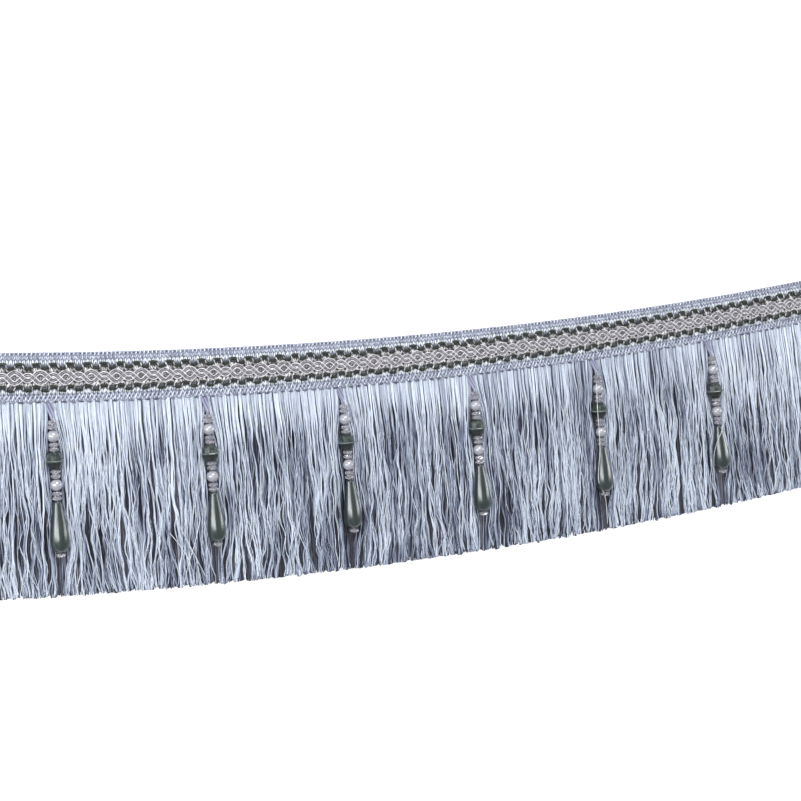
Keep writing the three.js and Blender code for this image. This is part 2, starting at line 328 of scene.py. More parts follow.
class Shape(Steps):
    """A tree that makes a shape on the straight trim, in millimetres, with named sizes."""

    def __init__(self, name, **sizes):
        super().__init__(bpy.data.node_groups.new(name, "GeometryNodeTree"))
        self.entry = {}
        kinds = {int: "NodeSocketInt", float: "NodeSocketFloat", type(None): "NodeSocketMaterial"}
        for label, value in {**sizes, "material": None}.items():
            socket = self.tree.interface.new_socket(label, in_out="INPUT", socket_type=kinds[type(value)])
            if value is not None:
                socket.default_value = value
            self.entry[label] = socket.identifier
        self.tree.interface.new_socket("shape", in_out="OUTPUT", socket_type="NodeSocketGeometry")
        self.given = self.node("NodeGroupInput")

    def size(self, label):
        return self.amount(self.given, label)

    def random(self, low, high, which, seed):
        """A number from low to high for each one, always the same for one seed."""
        node = self.node("FunctionNodeRandomValue", {2: low, 3: high, 7: which, 8: seed})
        return self.amount(node, 1)

    def outline(self, distance, points):
        """A smooth line through points of distance, up to 100, and size, up to 10."""
        node = self.node("ShaderNodeFloatCurve", {"Value": distance / 100.0})
        curve = node.mapping.curves[0]
        while len(curve.points) < len(points):
            curve.points.new(0.5, 0.5)
        for point, (place, size) in zip(curve.points, points):
            point.location = (place / 100, size / 10)
        node.mapping.update()
        return self.amount(node) * 10.0

    def line(self, end):
        """A straight line of as many points as the size named stations."""
        straight = self.node("GeometryNodeCurvePrimitiveLine", {"End": end})
        return self.node("GeometryNodeResampleCurve", {"Curve": straight, "Count": self.size("stations")})

    def passed(self, measure):
        """How much of its line lies before a point, as a Length or as a Factor from 0 to 1."""
        return self.amount(self.node("GeometryNodeSplineParameter"), measure)

    def round_cord(self, line, sides, thickness, radius=1.0):
        """A cord along a line, closed at both ends."""
        profile = self.node("GeometryNodeCurvePrimitiveCircle", {"Resolution": sides, "Radius": radius})
        return self.node("GeometryNodeCurveToMesh", {
            "Curve": line, "Profile Curve": profile, "Scale": thickness, "Fill Caps": True,
        })

    def keep(self, shape, label, value, domain="POINT"):
        """Stores a number on the shape, for its material."""
        inputs = {"Geometry": shape, "Name": label, "Value": value}
        return self.node("GeometryNodeStoreNamedAttribute", inputs, domain=domain)

    def finish(self, shape):
        """Bends the straight trim to its arc, in metres, and ends the tree."""
        real = self.node("GeometryNodeRealizeInstances", {0: shape})
        along, across, height = self.parts(self.node("GeometryNodeInputPosition"))
        radius = ARC_RADIUS - across
        turned = along / ARC_RADIUS
        bent = self.place(
            radius * self.math("SINE", turned) * MM,
            (ARC_RADIUS - radius * self.math("COSINE", turned)) * MM,
            height * MM,
        )
        laid = self.node("GeometryNodeSetPosition", {"Geometry": real, "Position": bent})
        dressed = self.node("GeometryNodeSetMaterial", {0: laid, "Material": self.given.outputs["material"]})
        self.node("NodeGroupOutput", {0: dressed})
        return self


def add_piece(name, mesh):
    """Puts a finished mesh in the scene as a piece of the trim."""
    mesh.name = name
    piece = bpy.data.objects.new(name, mesh)
    bpy.context.scene.collection.objects.link(piece)
    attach(piece, "root")
    return piece


def grow(name, shape, material, makings):
    """Runs a shape's tree once for each set of sizes, and keeps the results as one plain mesh."""
    whole = bmesh.new()
    seedling = bpy.data.objects.new(name, bpy.data.meshes.new(name))
    bpy.context.scene.collection.objects.link(seedling)
    for sizes in makings:
        growth = seedling.modifiers.new(name, "NODES")
        growth.node_group = shape.tree
        growth[shape.entry["material"]] = material
        for label, value in sizes.items():
            growth[shape.entry[label]] = value
        graph = bpy.context.evaluated_depsgraph_get()
        grown = bpy.data.meshes.new_from_object(
            seedling.evaluated_get(graph), preserve_all_data_layers=True, depsgraph=graph
        )
        seedling.modifiers.remove(growth)
        whole.from_mesh(grown)
        bpy.data.meshes.remove(grown)
    bpy.data.objects.remove(seedling)
    mesh = bpy.data.meshes.new(name)
    whole.to_mesh(mesh)
    whole.free()
    mesh.materials.append(material)
    mesh.shade_smooth()
    return add_piece(name, mesh)


def yarn(name, colours, roughness, sheen=0.15, grain=0.25):
    """Silky yarn. Each strand has its own tone, which in the fringe also holds painted shade and
    sparkle, and its fibres give it a fine grain.
    """
    material, steps, shader = start_material(name)
    tone = steps.amount(steps.node("ShaderNodeAttribute", attribute_name="tone"), "Fac")
    x, y, z = steps.object_place()
    fibres = steps.noise(x * FIBRES_ACROSS, y * FIBRES_ALONG, z * FIBRES_ACROSS, 1.0)
    steps.fill(shader, {
        "Base Color": ramp(steps, tone + fibres * grain, colours),
        "Normal": steps.node("ShaderNodeBump", {"Height": fibres, "Distance": FIBRE_RELIEF, "Strength": 0.5}),
        "Roughness": roughness,
        "Sheen Weight": sheen,
    })
    return material


stitch_row = Shape(
    "stitch row",
    number=COURSES, pitch=COURSE, start=0.0, down=2.0, length=2.0, slant=0.0,
    thickness=0.4, taper=0.0, up=1.7, arch=0.3, spread=0.1, tone=0.5, seed=1,
)
index = stitch_row.amount(stitch_row.node("GeometryNodeInputIndex"))
seed = stitch_row.size("seed")
spread = stitch_row.size("spread")
stitch_along = stitch_row.size("start") + index * stitch_row.size("pitch") - LENGTH / 2
stitch_place = stitch_row.place(
    stitch_along + spread * stitch_row.random(-1.0, 1.0, index, seed),
    HEADING_WIDTH / 2 - stitch_row.size("down") + spread * stitch_row.random(-1.0, 1.0, index, seed + 1),
    stitch_row.size("up"),
)
stitch_points = stitch_row.node("GeometryNodePoints", {
    "Count": stitch_row.size("number"),
    "Position": stitch_place,
})
half_slant = stitch_row.size("slant") * 0.5
half_length = stitch_row.size("length") * 0.5
stitch_line = stitch_row.node("GeometryNodeCurveQuadraticBezier", {
    "Resolution": 3,
    "Start": stitch_row.place(half_slant * -1.0, half_length),
    "Middle": stitch_row.place(z=stitch_row.size("arch")),
    "End": stitch_row.place(half_slant, half_length * -1.0),
})
fallen = stitch_row.passed("Factor")
fullness = (fallen * (1.0 - fallen) * 4.0 + 0.06) ** 0.3
stitch_thickness = stitch_row.size("thickness") * fullness * (1.0 - fallen * stitch_row.size("taper"))
stitches = stitch_row.node("GeometryNodeInstanceOnPoints", {
    "Points": stitch_points,
    "Instance": stitch_row.round_cord(stitch_line, STITCH_SIDES, stitch_thickness),
    "Rotation": stitch_row.place(z=stitch_row.random(-STITCH_TURN, STITCH_TURN, index, seed + 2)),
    "Scale": stitch_row.random(SMALLEST_STITCH, LARGEST_STITCH, index, seed + 3),
})
stitch_tone = stitch_row.size("tone") + stitch_row.random(-STITCH_TONES, STITCH_TONES, index, seed + 4)
stitch_row.finish(stitch_row.keep(stitches, "tone", stitch_tone, "INSTANCE"))

STEP_PITCH = 2 * COURSE
TOOTH_PITCH = 4 * COURSE
BARS = (
    dict(down=2.9, start=1.0, length=2.0, slant=1.0, thickness=0.44, tone=0.5, seed=10),
    dict(down=21.2, start=0.5, length=1.7, slant=0.7, thickness=0.42, tone=0.5, seed=20),
    dict(down=22.8, start=1.2, length=1.7, slant=-0.5, thickness=0.44, tone=0.6, seed=30),
)
FLOATS = (
    dict(down=1.0, start=1.9, length=1.3, slant=-0.7, thickness=0.26, up=1.75, tone=0.5, seed=40),
    dict(down=2.9, start=2.0, length=1.7, slant=-0.6, thickness=0.24, up=1.8, tone=0.45, seed=50),
    dict(down=5.1, start=0.7, length=2.5, slant=0.4, thickness=0.48, taper=0.2, up=1.4, tone=0.6, seed=60),
    dict(down=5.4, start=1.7, length=2.3, slant=-0.4, thickness=0.42, taper=0.2, up=1.4, tone=0.5, seed=65),
    dict(down=19.2, start=0.5, length=2.4, slant=-0.5, thickness=0.48, taper=-0.3, up=1.4, tone=0.6, seed=70),
    dict(down=19.5, start=1.5, length=2.2, slant=0.5, thickness=0.38, taper=-0.3, up=1.5, tone=0.5, seed=75),
    dict(down=21.9, start=1.6, length=1.7, slant=-0.4, thickness=0.26, up=1.8, tone=0.5, seed=80),
    dict(down=23.6, start=0.4, length=1.2, slant=0.4, thickness=0.3, up=1.7, tone=0.45, seed=90),
)
EDGE_LOOPS = (
    dict(down=0.9, start=1.0, length=0.9, slant=1.1, thickness=0.38, up=1.5, arch=0.2, tone=0.0, seed=100),
    dict(down=2.0, start=0.4, length=0.7, slant=0.5, thickness=0.24, up=1.85, arch=0.1, tone=0.0, seed=105),
    dict(down=0.4, start=2.0, length=0.5, slant=0.8, thickness=0.32, up=0.9, arch=0.2, tone=0.5, seed=110),
    dict(down=20.6, start=1.1, length=0.7, slant=0.6, thickness=0.3, up=1.75, arch=0.1, tone=0.0, seed=115),
    dict(down=22.1, start=0.2, length=0.8, slant=-0.4, thickness=0.26, up=1.85, arch=0.1, tone=0.0, seed=118),
    dict(down=24.4, start=1.1, pitch=STEP_PITCH, number=COURSES // 2, length=0.3, slant=2.5,
         thickness=0.5, up=1.7, arch=0.2, tone=0.05, seed=120),
)
TEETH = (
    dict(down=8.6, start=0.4, length=1.9, slant=0.8, thickness=0.4, up=1.5, tone=0.65, seed=130),
    dict(down=8.8, start=1.4, length=1.9, slant=-0.6, thickness=0.36, up=1.4, tone=0.5, seed=140),
    dict(down=16.0, start=0.9, length=1.9, slant=-0.7, thickness=0.42, up=1.5, tone=0.65, seed=150),
    dict(down=15.9, start=1.9, length=1.9, slant=0.6, thickness=0.38, up=1.4, tone=0.55, seed=160),
    dict(down=6.9, start=2.0, pitch=STEP_PITCH, number=COURSES // 2, length=1.9, slant=0.6,
         thickness=0.34, up=3.05, tone=0.4, spread=0.25, seed=170),
    dict(down=17.7, start=2.0, pitch=STEP_PITCH, number=COURSES // 2, length=1.9, slant=-0.6,
         thickness=0.34, up=3.05, tone=0.4, spread=0.25, seed=180),
    dict(down=8.6, start=3.4, pitch=TOOTH_PITCH, number=COURSES // 4, length=2.0, slant=0.9,
         thickness=0.36, taper=-0.5, up=2.1, tone=0.85, seed=190),
    dict(down=16.2, start=7.6, pitch=TOOTH_PITCH, number=COURSES // 4, length=2.0, slant=-0.9,
         thickness=0.36, taper=0.5, up=2.1, tone=0.85, seed=200),
)
OVAL_PITCH = 6 * COURSE
OVAL_LOOPS = tuple(
    dict(down=11.5 + 0.85 * row, start=OVAL_PITCH / 2 + 0.8 * place, pitch=OVAL_PITCH, number=COURSES // 6,
         length=0.5, slant=0.2, thickness=0.3, up=1.3, tone=0.45, spread=0.2, seed=210 + 10 * row + place)
    for row in range(3)
    for place in (-2, -1, 0, 1, 2)
)
lavender_yarn = yarn(
    "lavender yarn", ((0.06, 0.066, 0.11), (0.38, 0.42, 0.54), (0.76, 0.81, 0.93)), roughness=0.45
)
white_yarn = yarn(
    "white floats", ((0.32, 0.35, 0.4), (0.68, 0.73, 0.79), (0.92, 0.95, 0.97)), roughness=0.4
)
silver_yarn = yarn(
    "silver floats", ((0.14, 0.13, 0.14), (0.46, 0.45, 0.47), (0.84, 0.84, 0.85)), roughness=0.35
)
stitch_bars = grow("stitch_bars", stitch_row, lavender_yarn, BARS)
stitch_floats = grow("stitch_floats", stitch_row, white_yarn, FLOATS)
stitch_edge_loops = grow("stitch_edge_loops", stitch_row, lavender_yarn, EDGE_LOOPS)
stitch_teeth = grow("stitch_teeth", stitch_row, silver_yarn, TEETH)
stitch_oval_loops = grow("stitch_oval_loops", stitch_row, silver_yarn, OVAL_LOOPS)

# Silver gimp
# Two bundles of three thin wrapped cords, laid in along the middle of the tape. They cross over
# and under each other, and so form a chain of large ovals and small lenses.
GIMP_DOWN = 12.4
GIMP_MEAN = 0.68
GIMP_SWING = 2.05
GIMP_UP = 2.05
GIMP_CROSSING = 0.32
GIMP_WANDER = 0.35
GIMP_TONE = 0.35
GIMP_TONES = 0.6
OUTER_CORDS_LIGHTER = 0.38
CORD_SIDES = 6

gimp_cord = Shape("gimp cord", side=1.0, place=0.0, thickness=0.29, spacing=0.98, stations=560)
along = gimp_cord.passed("Length")
side = gimp_cord.size("side")
phase = along * (math.tau / OVAL_PITCH)
wander = gimp_cord.noise(along / 9.0, side * 5.0) * GIMP_WANDER
swung = side * (GIMP_MEAN - gimp_cord.math("COSINE", phase) * GIMP_SWING) + wander
slope = side * gimp_cord.math("SINE", phase) * (GIMP_SWING * math.tau / OVAL_PITCH)
offset = gimp_cord.size("place") * gimp_cord.size("spacing") / gimp_cord.math("SQRT", slope * slope + 1.0)
gimp_path = gimp_cord.place(
    along - LENGTH / 2 - slope * offset,
    HEADING_WIDTH / 2 - GIMP_DOWN + swung + offset,
    GIMP_UP - side * gimp_cord.math("SINE", phase) * GIMP_CROSSING,
)
placed = gimp_cord.node("GeometryNodeSetPosition", {
    "Geometry": gimp_cord.line((LENGTH, 0.0, 0.0)),
    "Position": gimp_path,
})
gimp_tone = gimp_cord.noise(along / 1.4, side * 3.0, gimp_cord.size("place") * 3.0) * GIMP_TONES + GIMP_TONE
gimp_tone = gimp_tone + gimp_cord.math("ABSOLUTE", gimp_cord.size("place")) * OUTER_CORDS_LIGHTER
toned = gimp_cord.keep(placed, "tone", gimp_tone)
gimp_cord.finish(gimp_cord.round_cord(toned, CORD_SIDES, gimp_cord.size("thickness")))
gimp_silver = yarn(
    "gimp silver", ((0.07, 0.068, 0.08), (0.4, 0.39, 0.43), (0.98, 0.97, 1.0)), roughness=0.32, grain=0.3
)
gimp = grow("gimp_cords", gimp_cord, gimp_silver, [
    dict(side=side_of_tape, place=place_in_bundle)
    for side_of_tape in (1.0, -1.0)
    for place_in_bundle in (-1.0, 0.0, 1.0)
])
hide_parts("gimp_braid")

# Green cords
# Two dark olive cords, each of two twisted plies, laid in on both sides of the gimp. Each steps up
# and down every second course, and pale floats tie it down between its steps.
GREEN_UP = 2.2
PLY_RADIUS = 0.56
PLY_OFFSET = 0.46
TWIST_LENGTH = 3.1
STEP_SHARPNESS = 1.7
PLY_PINCHED = 0.8
PLY_SWELLING = 0.35
GREEN_WANDER = 0.3
GREEN_TONE = 0.4
GREEN_TONES = 0.6

green_ply = Shape("green ply", down=6.95, step=0.95, ply=0.0, stations=900)
along = green_ply.passed("Length")
wave = green_ply.math("COSINE", along * (math.pi / STEP_PITCH)) * STEP_SHARPNESS
level_wave = green_ply.math("MAXIMUM", green_ply.math("MINIMUM", wave, 1.0), -1.0)
twist = along * (math.tau / TWIST_LENGTH) + green_ply.size("ply") * math.pi
green_path = green_ply.place(
    along - LENGTH / 2,
    (HEADING_WIDTH / 2 - green_ply.size("down") - green_ply.size("step") * level_wave
     + green_ply.math("COSINE", twist) * PLY_OFFSET
     + green_ply.noise(along / 6.0, green_ply.size("down")) * GREEN_WANDER),
    green_ply.math("SINE", twist) * PLY_OFFSET + GREEN_UP,
)
placed = green_ply.node("GeometryNodeSetPosition", {
    "Geometry": green_ply.line((LENGTH, 0.0, 0.0)),
    "Position": green_path,
})
green_tone = green_ply.noise(along / 1.5, green_ply.size("ply") * 7.0) * GREEN_TONES + GREEN_TONE
toned = green_ply.keep(placed, "tone", green_tone)
ply_thickness = level_wave * level_wave * PLY_SWELLING + PLY_PINCHED
green_ply.finish(green_ply.round_cord(toned, CORD_SIDES, ply_thickness, PLY_RADIUS))
olive_yarn = yarn(
    "olive yarn", ((0.004, 0.007, 0.006), (0.016, 0.024, 0.019), (0.1, 0.13, 0.085)), roughness=0.6,
    sheen=0.03, grain=0.3,
)
green_upper = grow("green_cord_upper_plies", green_ply, olive_yarn, [
    dict(down=6.95, step=1.05, ply=ply) for ply in (0.0, 1.0)
])
green_lower = grow("green_cord_lower_plies", green_ply, olive_yarn, [
    dict(down=17.75, step=0.95, ply=ply) for ply in (0.0, 1.0)
])
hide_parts("green_cord_upper")
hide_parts("green_cord_lower")

# Cut fringe
# Silky rayon yarns whose roots are knitted into the heading's lower edge and whose ends are cut.
# They cling in fine strands that wave, lean and gather, and part round each drop that lies on them.
DROPS = 6
UPPER_PEARL_BELOW = 15.8
FRINGE_LENGTH = 95.0
LONG_YARN = 95.5
END_WANDER = 1.6
ROOT_DEPTH = 1.2
LOCK_WIDTH = 5.2
WAVE_LENGTH = 11.0
BROAD_SWAY = 4.0
LOCK_SWAY = 3.0
COURSE_SWAY = 2.6
STRAY_SWAY = 5.5
STRAY_SHARE = 0.1
PILE_AT_ROOTS = 1.35
PILE_RISE = 1.2
PILE_FALL = 1.3
STRAND_CROWN = 1.2
BEAD_CLEARANCE = 0.4
STRAND_FURROW_SHADE = 2.0
COURSE_FURROW_SHADE = 0.6
SHADE_BESIDE_DROP = 0.3
# Painted shade over the middle of the trim, between these two stretches.
MIDDLE_SHADE_DEPTH = 0.12
MIDDLE_SHADE_FROM = (-150.0, -110.0)
MIDDLE_SHADE_TO = (100.0, 170.0)
ROOTS_PART_FROM = (-30.0, 50.0)
BARED_SHADE_LIFT = 0.28
YARN_TONES = 0.2
STRAND_TONES = 0.2
YARN_SIDES = 3
PARTING_REACH = 11.0
PARTING_WIDTH = 0.86
PARTING_WIDER_RIGHT = 0.26
# By distance below the heading: how far yarns are parted, and half the room that the beads take.
PARTING = ((0, 0), (6, 0.6), (13, 1.9), (28, 3.6), (40, 3.1), (50, 2.6), (60, 3.8), (70, 4.7),
           (76, 4.1), (84, 2.2), (95, 1.6), (100, 1.5))
BEAD_ROOM = ((0, 0.3), (8, 1.6), (15.8, 3.0), (27.8, 4.8), (39.8, 3.1), (48, 2.6),
             (57, 3.8), (68, 4.8), (74, 3.6), (81, 0.1), (100, 0.1))


def centre(node):
    """The middle of a solid's box."""
    low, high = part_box(node)
    return (Vector(low) + Vector(high)) / 2


class Drop:
    """Where one bead drop lies: its line through both pearls, and the same on the straight trim."""

    def __init__(self, number):
        self.number = number
        upper = centre(f"drop_{number}_upper_pearl")
        lower = centre(f"drop_{number}_lower_pearl")
        self.line = (lower - upper).normalized()
        self.top = upper - self.line * UPPER_PEARL_BELOW * MM
        (upper_along, upper_down), (lower_along, lower_down) = self.straight(upper), self.straight(lower)
        self.slope = (lower_along - upper_along) / (lower_down - upper_down)
        self.along = upper_along - self.slope * UPPER_PEARL_BELOW

    def straight(self, point):
        """A point's place along the straight trim, and down from the heading's top edge."""
        across = ARC_RADIUS - point.y / MM
        radius = math.hypot(point.x / MM, across)
        return math.atan2(point.x / MM, across) * ARC_RADIUS, radius - ARC_RADIUS + HEADING_WIDTH / 2

    def at(self, below, aside=0.0, height=0.0):
        """A point below the heading on the drop's line, moved aside and up from it."""
        across = Vector((-self.line.y, self.line.x, 0))
        return self.top + (self.line * below + across * aside + Vector((0, 0, height))) * MM


drops = [Drop(number + 1) for number in range(DROPS)]
bead_line_up = drops[0].top.z / MM

fringe = Shape(
    "fringe yarns",
    yarns=1290, strand=3, stations=26, thickness=0.17, low=0.5, high=1.0, opening=1.0, gathering=0.4,
    together=1.0, drift=1.0, unevenness=2.5, tone=0.5, contrast=1.2, seed=1,
)
seed = fringe.size("seed")
copies = fringe.node("GeometryNodeDuplicateElements", {
    0: fringe.line((0.0, -1.0, 0.0)),
    "Amount": fringe.size("yarns"),
}, domain="SPLINE")
which = fringe.amount(copies, "Duplicate Index")
fallen = fringe.passed("Factor")

# The strand that a yarn clings to, the course that the strand is knitted into, and its wider lock.
strand_place = (which + 0.5) / fringe.size("strand")
strand = fringe.math("FLOOR", strand_place)
in_strand = strand_place - strand - 0.5
strand_pitch = fringe.size("strand") / fringe.size("yarns") * LENGTH
root = (strand + 0.5 + fringe.random(-0.4, 0.4, strand, seed)) * strand_pitch - LENGTH / 2
course_place = (root + LENGTH / 2) / COURSE
in_course = course_place - fringe.math("FLOOR", course_place) - 0.5
lock_place = (root + LENGTH / 2) / LOCK_WIDTH + fringe.noise(root / 9.0, seed) * 1.3
lock = fringe.math("FLOOR", lock_place)
in_lock = lock_place - lock - 0.5

end_length = (
    LONG_YARN
    - fringe.random(0.0, 1.0, which, seed + 1) ** 2.0 * fringe.size("unevenness")
    + fringe.noise(root / 3.0, 3.0) * END_WANDER
)
below = fallen * (end_length + ROOT_DEPTH) - ROOT_DEPTH
free = fringe.math("MAXIMUM", below / FRINGE_LENGTH, 0.0)

# How far each yarn is drawn or drifts aside, with its course, its lock, its strand and by itself.
hung = fringe.smooth(free, 0.0, 0.3)
in_yarns = in_strand * strand_pitch * (1.0 - fringe.smooth(free, 0.0, 0.15) * 0.5)
course = course_place - in_course
course_pull = in_course * fringe.random(0.0, 0.5, course, 41) * COURSE
course_drift = (
    fringe.noise(course * 4.3, below / 15.0, 31.0) * (hung * 0.8 + free * 0.4)
    + fringe.noise(course * 9.1, below / 30.0, 37.0) * COURSE_SWAY * free
)
grip = fringe.smooth(free, 0.25, 0.85) * fringe.size("gathering")
lock_pull = in_lock * grip * LOCK_WIDTH
broad = fringe.noise(root / 24.0, free * 1.3, 7.0) * BROAD_SWAY * free
lock_drift = fringe.noise(lock * 3.7, free * 2.2, 11.0) * LOCK_SWAY * free ** 0.8
strand_drift = fringe.noise(strand * 5.3, below / WAVE_LENGTH, seed) * (hung * 0.75 + free)
yarn_drift = fringe.noise(which * 2.3, below / WAVE_LENGTH, 5.0) * 0.5 * hung
stray = fringe.math("GREATER_THAN", fringe.random(0.0, 1.0, strand, seed + 2), 1 - STRAY_SHARE)
stray_drift = stray * fringe.noise(strand * 1.9, free * 2.5, 17.0) * STRAY_SWAY * free
together = broad + lock_drift + course_drift - course_pull - lock_pull
aside = root + in_yarns + together * fringe.size("together")
aside = aside + (strand_drift + yarn_drift + stray_drift) * fringe.size("drift")

# The parting: each yarn keeps to its own side of a drop and follows the slant of its line.
near_along = fringe.math("ADD", drops[0].along, 0.0)
lean = drops[0].slope
for left, following in zip(drops, drops[1:]):
    past = fringe.math("GREATER_THAN", root, (left.along + following.along) / 2)
    near_along = past * (following.along - left.along) + near_along
    lean = fringe.smooth(root, left.along, following.along) * (following.slope - left.slope) + lean
side = fringe.math("SIGN", root - near_along)
from_drop = fringe.math("MAXIMUM", (aside - near_along) * side, 0.0)
parting = fringe.outline(below, PARTING) * fringe.size("opening")
parting = parting * (side * PARTING_WIDER_RIGHT + PARTING_WIDTH)
closeness = fringe.math("MAXIMUM", 1.0 - from_drop / PARTING_REACH, 0.0)
parted = from_drop + parting * closeness
fringe_along = near_along + parted * side + lean * below

# How high a yarn lies: by its layer and its place in its strand, but always clear of the beads.
bead_radius = fringe.outline(below, BEAD_ROOM)
under_beads = fringe.math("SQRT", fringe.math("MAXIMUM", bead_radius * bead_radius - parted * parted, 0.0))
room = bead_line_up - BEAD_CLEARANCE - under_beads
pile = PILE_AT_ROOTS + fringe.smooth(free, 0.0, 0.2) * PILE_RISE - fringe.smooth(free, 0.6, 1.0) * PILE_FALL
level = fringe.random(0.0, 1.0, strand, seed + 3)
layer = fringe.size("low") + (fringe.size("high") - fringe.size("low")) * level
crown = (0.25 - in_strand * in_strand) * STRAND_CROWN * hung
height = pile * layer + crown + fringe.noise(strand * 1.3, below / 15.0, 19.0) * 0.5 * hung
height = fringe.math("MAXIMUM", fringe.math("MINIMUM", height, room), fringe.size("thickness"))

fringe_path = fringe.place(fringe_along, -HEADING_WIDTH / 2 - below, height)
placed = fringe.node("GeometryNodeSetPosition", {"Geometry": copies, "Position": fringe_path})

# The tone of each yarn. Painted shade darkens it in the furrows between strands and courses, in the
# lower strands, beside a drop and over the middle of the trim, and painted sparkle flecks it along
# its length. To the left the roots lie smooth and bright. To the right they part into strands from
# the heading on.
parted_roots = fringe.smooth(root, *ROOTS_PART_FROM) * 0.8
combed = fringe.math("MAXIMUM", hung, parted_roots)
shading = (
    fringe.random(-YARN_TONES, YARN_TONES, which, seed + 4)
    + fringe.random(-STRAND_TONES, STRAND_TONES, strand, seed + 5)
    # Strands that lie higher are lighter: painted shade that deepens down the pile.
    + level * 0.25
    + fringe.noise(root / 16.0, free * 2.0, 23.0) * 0.4 * combed
    + fringe.noise(strand * 7.1, below / 18.0, 29.0) * 0.4
    # Light and dark flecks along each yarn: painted sparkle of its sheen.
    + fringe.noise(which * 3.1, below / 2.5, 43.0) * 0.4 * hung
    - free * 0.12
)
fringe_tone = (
    fringe.size("tone")
    + shading * fringe.size("contrast")
    # Painted shade in the furrows between strands and between courses.
    - in_strand * in_strand * STRAND_FURROW_SHADE * combed
    - in_course * in_course * COURSE_FURROW_SHADE * combed
    - (1.0 - fringe.smooth(from_drop, 0.0, 1.8)) * SHADE_BESIDE_DROP * fringe.size("opening") * hung
    # Painted shade that darkens the yarns over the middle of the trim.
    - fringe.smooth(root, *MIDDLE_SHADE_FROM) * (1.0 - fringe.smooth(root, *MIDDLE_SHADE_TO)) * MIDDLE_SHADE_DEPTH * combed
)
# Where a parting bares the lower layers near the ends, they are painted lighter, as the grey painted shade of
# the gap under a drop.
bared = (1.0 - fringe.smooth(from_drop, 1.0, 5.0)) * fringe.smooth(free, 0.7, 0.8)
bared_shade_lift = bared * (1.0 - fringe.size("opening")) * BARED_SHADE_LIFT
toned = fringe.keep(placed, "tone", fringe_tone + bared_shade_lift)
fringe.finish(fringe.round_cord(toned, YARN_SIDES, fringe.size("thickness")))

# Four layers: one that lies on the surface, coloured dark as painted shade in the gaps, two of
# strands, and loose yarns. The deeper a layer lies, the lower its tone: painted shade.
fringe_yarn = yarn(
    "fringe yarn",
    ((0.02, 0.023, 0.042), (0.128, 0.15, 0.23), (0.41, 0.465, 0.59), (0.76, 0.83, 0.94)),
    roughness=0.34, sheen=0.1, grain=0.12,
)
shaded_under_yarn = yarn(
    "shaded under yarn", ((0.016, 0.017, 0.027), (0.112, 0.116, 0.155), (0.33, 0.35, 0.425)), roughness=0.5,
    sheen=0.0,
)
# The under layer is real yarn, but coloured near black as painted shade in the gaps.
fringe_under = grow("fringe_under_yarns", fringe, shaded_under_yarn, [
    dict(yarns=1400, strand=1, stations=12, thickness=0.42, low=0.1, high=0.3, opening=0.0, gathering=0.0,
         together=0.1, drift=0.1, tone=0.12, contrast=0.8, seed=5)
])
# The middle layer takes a lower tone than the top one, as painted shade.
fringe_middle = grow("fringe_middle_yarns", fringe, fringe_yarn, [
    dict(low=0.35, high=0.7, opening=0.4, gathering=0.4, stations=24, thickness=0.17, tone=0.4, seed=31)
])
fringe_top = grow("fringe_top_yarns", fringe, fringe_yarn, [
    dict(low=0.65, high=1.1, gathering=0.5, thickness=0.165, tone=0.83, seed=61)
])
fringe_loose = grow("fringe_loose_yarns", fringe, fringe_yarn, [
    dict(yarns=900, strand=2, low=0.8, high=1.2, gathering=0.5, drift=1.7, thickness=0.125, tone=0.95,
         seed=91)
])
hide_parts("fringe")

# Loop threads
# Each drop hangs on a loop of fine lavender threads. They leave the heading side by side and draw
# together at the first spacer bead.
LOOP_THREADS = 8
LOOP_WIDTH = 3.2
LOOP_END = 8.6
LOOP_THICKNESS = 0.42
THREAD_TONE = 0.5
THREAD_TONES = 0.3


def threads(name, paths, thickness, material):
    """Round threads along smooth paths, as one plain mesh."""
    curve = bpy.data.curves.new(name, "CURVE")
    curve.dimensions = "3D"
    curve.bevel_depth = thickness / 2 * MM
    curve.bevel_resolution = 1
    curve.resolution_u = 5
    curve.use_fill_caps = True
    for path in paths:
        spline = curve.splines.new("NURBS")
        spline.points.add(len(path) - 1)
        for point, place in zip(spline.points, path):
            point.co = (*place, 1)
        spline.order_u = 3
        spline.use_endpoint_u = True
    bent = bpy.data.objects.new(name, curve)
    bpy.context.scene.collection.objects.link(bent)
    graph = bpy.context.evaluated_depsgraph_get()
    mesh = bpy.data.meshes.new_from_object(bent.evaluated_get(graph), depsgraph=graph)
    bpy.data.objects.remove(bent)
    tones = mesh.attributes.new("tone", "FLOAT", "POINT")
    for number, vertex in enumerate(mesh.vertices):
        wave = math.sin(vertex.co.x / MM * 4 + vertex.co.y / MM)
        tones.data[number].value = THREAD_TONE + THREAD_TONES * wave
    mesh.materials.clear()
    mesh.materials.append(material)
    mesh.shade_smooth()
    return add_piece(name, mesh)


loop_paths = []
for drop in drops:
    for number in range(LOOP_THREADS):
        share = number / (LOOP_THREADS - 1) - 0.5
        loop_paths.append([
            drop.at(-1.0, share * LOOP_WIDTH, 1.2 - bead_line_up),
            drop.at(0.4, share * LOOP_WIDTH, 1.9 - bead_line_up),
            drop.at(3.5, share * LOOP_WIDTH * 0.78, 3.2 - bead_line_up),
            drop.at(6.5, share * LOOP_WIDTH * 0.4, -0.3),
            drop.at(LOOP_END, share * LOOP_WIDTH * 0.16, 0.2 * math.cos(number * 2.4)),
        ])
lavender_thread = yarn(
    "lavender thread", ((0.07, 0.07, 0.12), (0.2, 0.21, 0.32), (0.44, 0.46, 0.6)), roughness=0.35
)
threads("loop_threads", loop_paths, LOOP_THICKNESS, lavender_thread)

